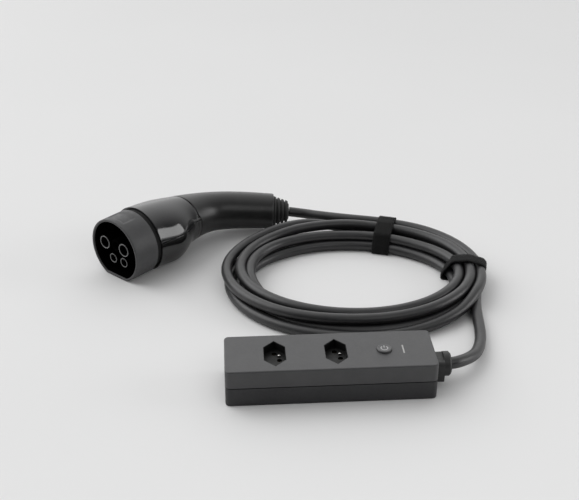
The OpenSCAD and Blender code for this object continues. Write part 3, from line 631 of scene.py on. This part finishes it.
# Light bar: a thin clear-white acrylic guide that carries the status light up through the lid.
light_guide = bpy.data.materials.new("light_guide")
tree, shader, here = nodes_of(light_guide)
tint(tree, noise_at(tree, here, 900, 2), (0.34, 0.34, 0.33), (0.42, 0.42, 0.41),
     shader.inputs["Base Color"])
tree.links.new(spread(tree, noise_at(tree, here, 700, 2), 0.16, 0.26), shader.inputs["Roughness"])
tree.links.new(relief_bump(tree, noise_at(tree, here, 500, 2), 0.00004, 0.2),
               shader.inputs["Normal"])
dress_solid(light_guide, "light_bar")


# Held inside the box and the handle: control board, coding board, relay, push switch, its white
# plunger and the status light. They show only when the box is opened.
board_lacquer = moulded_plastic("board_lacquer", (0.018, 0.085, 0.040), (0.026, 0.11, 0.055),
                                0.25, 0.35, 900, 0.00005, 0.3)
switch_plastic = moulded_plastic("switch_plastic", (0.022, 0.022, 0.022), (0.030, 0.030, 0.030),
                                 0.35, 0.5, 1500, 0.00005, 0.3)
relay_plastic = moulded_plastic("relay_plastic", (0.012, 0.024, 0.10), (0.018, 0.034, 0.13),
                                0.2, 0.3, 1200, 0.00004, 0.3)
plunger_plastic = moulded_plastic("plunger_plastic", (0.62, 0.60, 0.54), (0.70, 0.68, 0.62),
                                  0.35, 0.5, 1500, 0.00004, 0.3)
lamp_resin = moulded_plastic("lamp_resin", (0.80, 0.74, 0.42), (0.88, 0.82, 0.5),
                             0.12, 0.2, 800, 0.00003, 0.2)
clamp_plastic = moulded_plastic("clamp_plastic", (0.05, 0.05, 0.05), (0.065, 0.065, 0.065),
                                0.4, 0.55, 1500, 0.00006, 0.3)
dress_solid(board_lacquer, "control_board", "coding_board")
dress_solid(switch_plastic, "push_switch")
dress_solid(relay_plastic, "relay")
dress_solid(plunger_plastic, "switch_plunger")
dress_solid(lamp_resin, "status_led")
dress_solid(clamp_plastic, "handle_cord_clamp")


# Gland: a black nylon body clamped in the end wall, a flange with round corners below the cord and
# a blunt nut that presses a rubber ring round the cord.
gland_nylon = moulded_plastic("gland_nylon", (0.013, 0.013, 0.013), (0.020, 0.020, 0.020),
                              0.42, 0.55, 1800, 0.00008, 0.4)
dress_solid(gland_nylon, "gland_body", "gland_nut")


# Handle housing: the glass-filled frame of the handle, bent from the head down into the grip. It
# shows only as a dark line in the seams between the covers.
handle_spot = (-0.188, 0.188, 0)
handle_turn = 46.0
to_metres = Matrix.Scale(0.001, 4)
handle_place = (
    Matrix.Translation(handle_spot)
    @ Matrix.Rotation(math.radians(handle_turn), 4, "Z") @ to_metres
)
nose_height = 28.8
head_back = 32.0
handle_line = [
    Vector((head_back, 0, nose_height)), Vector((head_back + 85.6, 0, nose_height)),
    Vector((head_back + 93.7, 7.2, nose_height - 4.4)),
    Vector((head_back + 143.6, -47.9, 20.7)),
]
handle_radii = (33.0, 29.3, 17.8, 19.8, 20.2, 18.0)
# The head swells below: from belly_from degrees off its top, over the next belly_run degrees
belly_deep = 5.1
belly_reach = 0.261
belly_from = 8.0
belly_run = 97.0
# Toward the floor the skin is flat, with a soft corner, this high up at the nose
flat_height = 0.6
flat_soft = 6.0
housing_outside, housing_inside = 2.45, 4.6
housing_plastic = moulded_plastic("housing_plastic", (0.010, 0.010, 0.010), (0.014, 0.014, 0.014),
                                  0.5, 0.62, 1500, 0.0001, 0.4)


def on_curve(values, t):
    """The Bezier curve, of any degree, that a list of points or numbers shapes."""
    while len(values) > 1:
        values = [a * (1 - t) + b * t for a, b in zip(values, values[1:])]
    return values[0]


def handle_pace(t):
    """Way of the handle's middle line at t, as long as the mm that it goes for a unit of t."""
    return on_curve([(b - a) * 3 for a, b in zip(handle_line, handle_line[1:])], t)


def skin_point(t, angle, depth):
    """A point of the handle's skin in mm: t along it, degrees from its left over its top."""
    way = handle_pace(t).normalized()
    left = Vector((0, 0, 1)).cross(way).normalized()
    up = way.cross(left)
    from_top = abs((angle - 90 + 180) % 360 - 180)
    below = min(1.0, max(0.0, (from_top - belly_from) / belly_run))
    belly = belly_deep * math.sin(math.pi * min(1, t / belly_reach)) ** 2
    radius = on_curve(handle_radii, t) + belly * below * below * (3 - 2 * below) - depth
    rise = radius * math.sin(math.radians(angle))
    flat = -(nose_height - flat_height - depth)
    rise = (rise + flat + math.sqrt((rise - flat) ** 2 + flat_soft)) / 2
    across = radius * math.cos(math.radians(angle))
    return on_curve(handle_line, t) + left * across + up * rise


points = []
housing_rows, housing_columns = 61, 64
for depth, rows in ((housing_outside, range(housing_rows)),
                    (housing_inside, range(housing_rows - 1, -1, -1))):
    for i in rows:
        for j in range(housing_columns):
            points.append(handle_place @ skin_point(
                i / (housing_rows - 1), 360 * j / housing_columns, depth))
housing = link_mesh("housing_frame", points,
                    grid_faces(2 * housing_rows, housing_columns, True, True), housing_plastic)
recalc_outward(housing)
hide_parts("handle_housing")
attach(housing, "adapter")


# Head cover: a one-piece top shell of glossy polycarbonate that clips over the head and ends in a
# rounded tongue against the grip. The tongue's end runs askew, further on the near side.
cover_reach = 0.298
cover_span = 80.0
tongue_near = 45.0
tongue_slant = 0.00048
tongue_start = cover_reach * 0.6
tongue_side_bend = 3.5
tongue_end_bend = 0.25
shell_thick = 2.2


def tongue_tip(angle):
    """Where the tongue would end at an angle from the top: it reaches further on the near side."""
    return cover_reach - tongue_slant * (tongue_near - angle)


def tongue_reach(angle):
    """How far the cover reaches at an angle from the top, with the tongue's round corners."""
    aside = min(1.0, abs(angle) / cover_span)
    full = (1 - aside**tongue_side_bend) ** tongue_end_bend
    return tongue_start + (tongue_tip(angle) - tongue_start) * full


def finish_shell(piece, thick, edge, segments):
    """Turns an open skin into a wall with round edges and keeps the result as its mesh."""
    wall = piece.modifiers.new("wall", "SOLIDIFY")
    wall.thickness = thick / 1000
    wall.offset = -1
    wall.use_even_offset = True
    soften = piece.modifiers.new("edge", "BEVEL")
    soften.width = edge / 1000
    soften.segments = segments
    soften.limit_method = "ANGLE"
    soften.angle_limit = math.radians(50)
    bpy.context.view_layer.update()
    mesh = bpy.data.meshes.new_from_object(
        piece.evaluated_get(bpy.context.evaluated_depsgraph_get()))
    piece.modifiers.clear()
    piece.data = mesh
    mesh.polygons.foreach_set("use_smooth", [True] * len(mesh.polygons))


def soft_gloss(name, dark, light, rough_low, rough_high, shine):
    """Polished plastic, black or nearly so, with a faint wave that softens what it mirrors."""
    material = bpy.data.materials.new(name)
    tree, shader, here = nodes_of(material)
    shader.inputs["IOR"].default_value = 1.55
    shader.inputs["Specular IOR Level"].default_value = shine
    tint(tree, spread(tree, noise_at(tree, here, 45, 3), 0, 1), dark, light,
         shader.inputs["Base Color"])
    tree.links.new(spread(tree, noise_at(tree, here, 220, 4), rough_low, rough_high),
                   shader.inputs["Roughness"])
    tree.links.new(relief_bump(tree, noise_at(tree, here, 120, 2), 0.00002, 0.1),
                   shader.inputs["Normal"])
    return material


cover_gloss = soft_gloss("cover_gloss", (0.014, 0.014, 0.015), (0.019, 0.019, 0.020),
                         0.10, 0.13, 0.65)
# Its columns crowd toward both edges, so that the tongue's corners come out round
cover_rows, cover_columns = 70, 97
crowding = 1.6
points = []
for i in range(cover_rows):
    for j in range(cover_columns):
        s = 2 * j / (cover_columns - 1) - 1
        aside = math.copysign(1 - (1 - abs(s)) ** crowding, s) * cover_span
        t = tongue_reach(aside) * i / (cover_rows - 1)
        points.append(handle_place @ skin_point(t, 90 + aside, 0))
head_cover = link_mesh("head_cover_shell", points,
                       grid_faces(cover_rows, cover_columns, False, False),
                       cover_gloss)
finish_shell(head_cover, shell_thick, 0.5, 3)
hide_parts("head_cover")
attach(head_cover, "adapter")


# Lower cover: the high-gloss black shell under the head, moulded like the head cover. It meets that
# cover in a fine seam on each side, goes round the tongue's corners and ends where the grip begins.
seam_gap = 0.7
tongue_pace = 250.0  # mm along the handle for a unit of t, near the tongue
# The grip's front follows the tongue up to ring_corner degrees off the top, then falls back
ring_end = 0.33
ring_corner = 60.0
ring_blend_near, ring_blend_far = 20.0, 60.0
ring_gap = 0.007
lower_gloss = soft_gloss("lower_gloss", (0.007, 0.007, 0.007), (0.010, 0.010, 0.010),
                         0.04, 0.07, 0.6)


def grip_front(angle):
    """Where the grip begins at an angle from the top: just past the tongue, and later below it."""
    blend = ring_blend_near if angle > 0 else ring_blend_far
    f = min(1.0, max(0.0, (abs(angle) - ring_corner) / blend))
    tip = tongue_tip(min(ring_corner, max(-ring_corner, angle))) + ring_gap
    return tip + (ring_end - tip) * f * f * (3 - 2 * f)


def lower_edge(t, side):
    """How far from the top, in degrees, the lower cover's edge lies on one side at t."""
    step = 0.1
    side_gap = math.degrees(seam_gap / on_curve(handle_radii, t))
    end_gap = seam_gap / tongue_pace
    angle = 170.0
    while grip_front(side * (angle - step)) >= t - 1e-6 and (
        angle - step > cover_span + side_gap
        or tongue_reach(side * (angle - step)) + end_gap < t
    ):
        angle -= step
    return angle


side_rows, corner_rows, lower_columns = 30, 70, 110
lower_rows = [tongue_start * i / side_rows for i in range(side_rows + 1)]
lower_rows += [tongue_start + (ring_end - tongue_start) * i / corner_rows
               for i in range(1, corner_rows + 1)]
points = []
for t in lower_rows:
    near, far = lower_edge(t, 1), lower_edge(t, -1)
    for j in range(lower_columns):
        f = j / (lower_columns - 1)
        points.append(handle_place @ skin_point(t, 90 + near + (360 - near - far) * f, 0))
lower_cover = link_mesh("lower_cover_shell", points,
                        grid_faces(len(lower_rows), lower_columns, False, False),
                        lower_gloss)
finish_shell(lower_cover, shell_thick, 0.4, 3)
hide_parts("lower_cover")
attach(lower_cover, "adapter")


# Grip sleeve: thermoplastic rubber moulded over the housing from the tongue back to the cord end,
# where it turns in to a flat ring round the strain relief.
grip_rubber = moulded_plastic("grip_rubber", (0.012, 0.012, 0.012), (0.017, 0.017, 0.017),
                              0.30, 0.38, 2200, 0.00005, 0.25, 0.5)
grip_columns = 120
grip_thick = 2.3
grip_gap = 0.004
groove_from_end = 11.0
groove_depth = 0.3
groove_half = 0.9
front_pace = handle_pace(ring_end).length
back_pace = handle_pace(1).length
# Each end row: mm from the grip's end, mm below the skin
front_rows = [(0.0, 2.2), (0.0, 0.9), (0.15, 0.45), (0.4, 0.15), (0.8, 0.02), (1.4, 0)]
body_rows = 70
back_rows = [(1.7, 0), (1.15, 0.06), (0.7, 0.25), (0.35, 0.6), (0.1, 1.05), (0.0, 1.6), (0.0, 2.6),
             (0.0, 3.9), (0.8, 4.3), (6.0, 4.3)]
points = []
row_count = 0
for rows, kind in ((front_rows, "front"), (range(1, body_rows), "body"), (back_rows, "back"),
                   ([(f, grip_thick) for f in (0.9, 0.75, 0.6, 0.45, 0.3, 0.15, 0.06)], "inner")):
    for row in rows:
        row_count += 1
        for j in range(grip_columns):
            angle = 360 * j / grip_columns
            away = (angle - 90 + 180) % 360 - 180
            front = grip_front(away) + grip_gap
            if kind == "front":
                t, depth = front + row[0] / front_pace, row[1]
            elif kind == "body":
                begin = front + front_rows[-1][0] / front_pace
                stop = 1 - back_rows[0][0] / back_pace
                t = begin + (stop - begin) * (1 - (1 - row / body_rows) ** 1.25)
                from_groove = abs((1 - t) * back_pace - groove_from_end)
                depth = groove_depth * max(0.0, 1 - from_groove / groove_half)
            elif kind == "back":
                t, depth = 1 - row[0] / back_pace, row[1]
            else:
                t, depth = front + (1 - front) * row[0], row[1]
            points.append(handle_place @ skin_point(t, angle, depth))
grip_sleeve = link_mesh("grip_sleeve_rubber", points,
                        grid_faces(row_count, grip_columns, True, True), grip_rubber)
recalc_outward(grip_sleeve)
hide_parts("grip_sleeve")
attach(grip_sleeve, "adapter")


# Strain relief: a soft black rubber boot that tapers from the grip's end to the cord. Its four
# rings, with grooves between them, let it bend without kinking.
boot_length = 16.0
boot_wide = 31.0
boot_tip = 21.0
boot_sides = 72
boot_place = handle_place @ Matrix.Translation(handle_line[3]) @ (
    handle_pace(1).to_track_quat("Z", "Y").to_matrix().to_4x4())
boot_rubber = moulded_plastic("boot_rubber", (0.012, 0.012, 0.012), (0.018, 0.018, 0.018),
                              0.55, 0.68, 1800, 0.0001, 0.4)
boot_rings = 4
boot_bore = 5.1
groove_deep = 1.7
pitch = boot_length / boot_rings
taper = (boot_tip - boot_wide) / boot_length
outside = [(-6.0, boot_bore), (-6.0, 12.0), (-0.3, 12.0)]
for k in range(boot_rings):
    z = k * pitch
    r = (boot_wide + taper * z) / 2
    r_end = (boot_wide + taper * (z + pitch * 0.6)) / 2
    deep = r - groove_deep
    outside += [(z + 0.05, deep), (z + 0.1, r - 0.7), (z + 0.3, r - 0.25), (z + 0.7, r - 0.03),
                (z + pitch * 0.55, r_end), (z + pitch * 0.64, r_end - 0.15),
                (z + pitch * 0.69, r_end - 0.6), (z + pitch * 0.7, deep - 0.6)]
outside += [(boot_length - 0.6, boot_tip / 2 - 2.2), (boot_length - 0.1, boot_tip / 2 - 2.8),
            (boot_length, boot_tip / 2 - 3.6), (boot_length, boot_bore)]


def turned_points(profile, count, place):
    """A closed profile of (height, radius) in mm turned round the Z axis, then placed."""
    points = []
    for height, radius in profile:
        for k in range(count):
            turn = 2 * math.pi * k / count
            x, y = radius * math.cos(turn), radius * math.sin(turn)
            points.append(place @ Vector((x, y, height)))
    return points


boot = link_mesh("strain_relief_boot", turned_points(outside, boot_sides, boot_place),
                 grid_faces(len(outside), boot_sides, True, True), boot_rubber)
recalc_outward(boot)
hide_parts("strain_relief")
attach(boot, "adapter")


# Nose: the shroud that goes into the vehicle's inlet, moulded in grey glass-filled nylon. It is a
# round tube with one flat side, a thin rounded rim and a shallow catch recess on its top.
nose_radius = 32.0
nose_corner = 5.0
nose_wall = 2.6
nose_deep = 20.0
nose_back = 27.5
nose_root = 38.0
recess_deep = 0.9
recess_way = (5.8, 20.4)
recess_arc = (66, 108)
arc_share, corner_share, flat_share = 0.72, 0.08, 0.12
nose_nylon = moulded_plastic("nose_nylon", (0.050, 0.050, 0.052), (0.061, 0.061, 0.063),
                             0.46, 0.58, 2200, 0.00012, 0.5)


def nose_outline(inset, count):
    """Outline of the nose in mm, drawn in by an inset: its arc, a corner, the flat, a corner."""
    r, h = nose_radius - inset, nose_height - inset
    c = max(1.0, nose_corner - inset)
    cx = math.sqrt((r - c) ** 2 - (h - c) ** 2)
    cy = -(h - c)
    start = math.degrees(math.atan2(cy, cx))
    rim = []
    arc = 180 - 2 * start
    flat_from, flat_to = arc_share + corner_share, 1 - corner_share
    for k in range(count):
        f = k / count
        if f < arc_share:
            a = math.radians(start + arc * f / arc_share)
            rim.append((r * math.cos(a), r * math.sin(a)))
        elif f < flat_from:
            a = math.radians(180 - start + (90 + start) * (f - arc_share) / corner_share)
            rim.append((c * math.cos(a) - cx, c * math.sin(a) + cy))
        elif f < flat_to:
            g = (f - flat_from) / flat_share
            rim.append((-cx + 2 * cx * g, cy - c))
        else:
            a = math.radians(270 + (90 + start) * (f - flat_to) / corner_share)
            rim.append((c * math.cos(a) + cx, c * math.sin(a) + cy))
    return rim


nose_columns = 200
# Each row: mm back from the nose's rim, mm in from its outline
nose_profile = [(nose_back, 2.2), (nose_back, 0.5), (27.35, 0.15), (27.0, 0.0)]
nose_profile += [(x, 0.0) for x in (24, 20.6, 20.1, 16, 12, 8, 6.1, 5.6, 3, 1.2)]
nose_profile += [(0.7, 0.08), (0.3, 0.3), (0.06, 0.65), (0.0, 1.1), (0.0, 1.6), (0.08, 2.1),
                 (0.35, 2.45), (0.9, nose_wall)]
nose_profile += [(x, nose_wall) for x in (4, 8, 12, 16, nose_deep - 0.2)]
nose_profile += [(nose_deep, 2.8), (nose_deep, 7.0), (nose_root, 7.0), (nose_root, 5.3),
                 (nose_back, 5.3)]
points = []
for x, inset in nose_profile:
    for across, up in nose_outline(inset, nose_columns):
        turn = math.degrees(math.atan2(up, across))
        in_recess = recess_way[0] < x < recess_way[1] and recess_arc[0] < turn < recess_arc[1]
        if inset < 0.01 and in_recess:
            across *= 1 - recess_deep / nose_radius
            up *= 1 - recess_deep / nose_radius
        points.append(handle_place @ Vector((x, across, nose_height + up)))
nose = link_mesh("nose_shroud", points,
                 grid_faces(len(nose_profile), nose_columns, True, True), nose_nylon)
recalc_outward(nose)
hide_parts("nose_shell")
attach(nose, "adapter")


# Contacts: five towers of black nylon stand in the nose, and the carrier's thin skirt lines its
# inside. Towers and skirt are painted darker than nylon and without shine, as painted shade for the
# deep inside of the nose. A grey ring at the mouth of each of the four outer towers is a painted
# highlight for the light on their rims, and silver-plated sleeves sit deep in their bores.
tower_spots = (
    # across and up from the nose's middle, width, depth of the face
    (-13.2, 5, 13, 0.5), (13.2, 5, 13, 0.5), (-7.5, -12, 9.6, 4.5), (7.5, -12, 9.6, 4.5),
)
# Painted shade: near-black with no shine, darker than black nylon, so the nose's inside shows as
# deep shade
carrier_painted_shade = moulded_plastic("carrier_painted_shade", (0.001, 0.001, 0.001), (0.002, 0.002, 0.002),
                                  0.75, 0.9, 1500, 0.00006, 0.3, 0.0)
# Painted highlight: grey, far lighter than the towers, standing for the light caught on the outer
# towers' rims
rim_highlight_grey = moulded_plastic("rim_highlight_grey", (0.15, 0.15, 0.15), (0.19, 0.19, 0.19),
                                 0.35, 0.5, 1500, 0.00004, 0.3)
silver_plate = bright_metal("silver_plate", (0.60, 0.60, 0.60), 0.2, 0.34)
dress_solid(carrier_painted_shade, "contact_carrier")
dress_solid(silver_plate, "line_sleeve", "neutral_sleeve", "earth_sleeve", "pilot_sleeve",
            "proximity_sleeve")
# The skirt carries the same painted shade over the nose's inner wall
shade_skirt_profile = ((1.6, 2.55), (1.4, 2.75), (1.45, 3.0), (1.7, 3.15), (6, 3.2), (12, 3.2),
                 (19.0, 3.2), (19.1, 7.4), (19.9, 7.4), (19.9, 2.55))
points = []
for x, inset in shade_skirt_profile:
    for across, up in nose_outline(inset, nose_columns):
        points.append(handle_place @ Vector((x, across, nose_height + up)))
shade_skirt = link_mesh("carrier_skirt_painted_shade", points,
                  grid_faces(len(shade_skirt_profile), nose_columns, True, True), carrier_painted_shade)
recalc_outward(shade_skirt)
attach(shade_skirt, "adapter")
# Grey rings at the four outer towers' mouths, a painted highlight for their lit rims
rim_highlights = bmesh.new()
rim_highlight_sides = 56
for across, up, wide, face in tower_spots:
    place = handle_place @ Matrix.Translation((face, across, nose_height + up)) @ (
        Matrix.Rotation(math.radians(90), 4, "Y"))
    r = wide / 2
    ring = [(0.3, r - 0.95), (0.3, r + 0.02), (-0.1, r + 0.02), (-0.3, r - 0.12), (-0.36, r - 0.4),
            (-0.3, r - 0.7), (-0.1, r - 0.95)]
    made = [rim_highlights.verts.new(p) for p in turned_points(ring, rim_highlight_sides, place)]
    for quad in grid_faces(len(ring), rim_highlight_sides, True, True):
        rim_highlights.faces.new([made[k] for k in quad])
tower_rim_highlights = piece_of(rim_highlights, "tower_rim_highlights", rim_highlight_grey, True)
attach(tower_rim_highlights, "adapter")


# Studio: one pale matt floor, a large soft lamp high on the left, a softbox on the right that shows
# in the glossy covers, a wide weak one in front that gives the grip its sheen, and a room that is
# bright high at the back and dark low in front.
floor_paint = bpy.data.materials.new("floor_paint")
tree, shader, here = nodes_of(floor_paint)
shader.inputs["Roughness"].default_value = 0.9
shader.inputs["Specular IOR Level"].default_value = 0.2
tint(tree, noise_at(tree, here, 2, 2), (0.76, 0.76, 0.76), (0.80, 0.80, 0.80),
     shader.inputs["Base Color"])
reach = 6
corners = [(-reach, -reach, 0), (reach, -reach, 0), (reach, reach, 0), (-reach, reach, 0)]
floor = link_mesh("floor", corners, [(0, 1, 2, 3)], floor_paint, smooth=False)


def soft_lamp(name, place, aim, width, height, power):
    """A softbox in metres and watts that looks at a point."""
    lamp_data = bpy.data.lights.new(name, "AREA")
    lamp_data.shape = "RECTANGLE"
    lamp_data.size = width
    lamp_data.size_y = height
    lamp_data.energy = power
    lamp = placed(name, lamp_data)
    lamp.location = place
    lamp.rotation_euler = (Vector(aim) - Vector(place)).to_track_quat("-Z", "Y").to_euler()


soft_lamp("key_lamp", (-2.1, 0.9, 2.0), (0, 0.15, 0), 2.6, 2.6, 33)
soft_lamp("side_box", (3.0, 0.0, 0.83), (-0.13, 0.0, 0.83), 1.6, 1.54, 26)
soft_lamp("front_box", (0.8, -1.35, 1.5), (-0.08, 0.2, 0.03), 1.9, 1.1, 8.0)
bright_side = (-0.35, 0.85, 0.4)
room_dim, room_bright = 0.02, 1.44
room = bpy.data.worlds.new("room")
bpy.context.scene.world = room
room.use_nodes = True
tree = room.node_tree
tree.nodes.clear()
room_out = tree.nodes.new("ShaderNodeOutputWorld")
glow = tree.nodes.new("ShaderNodeBackground")
way = tree.nodes.new("ShaderNodeTexCoord")
toward = tree.nodes.new("ShaderNodeVectorMath")
toward.operation = "DOT_PRODUCT"
toward.inputs[1].default_value = bright_side
tree.links.new(way.outputs["Generated"], toward.inputs[0])
shade = tree.nodes.new("ShaderNodeMapRange")
shade.inputs["From Min"].default_value = -0.2
shade.inputs["From Max"].default_value = 1.0
shade.inputs["To Min"].default_value = room_dim
shade.inputs["To Max"].default_value = room_bright
tree.links.new(toward.outputs["Value"], shade.inputs["Value"])
tree.links.new(shade.outputs["Result"], glow.inputs["Strength"])
glow.inputs["Color"].default_value = (1, 1, 1, 1)
tree.links.new(glow.outputs["Background"], room_out.inputs["Surface"])
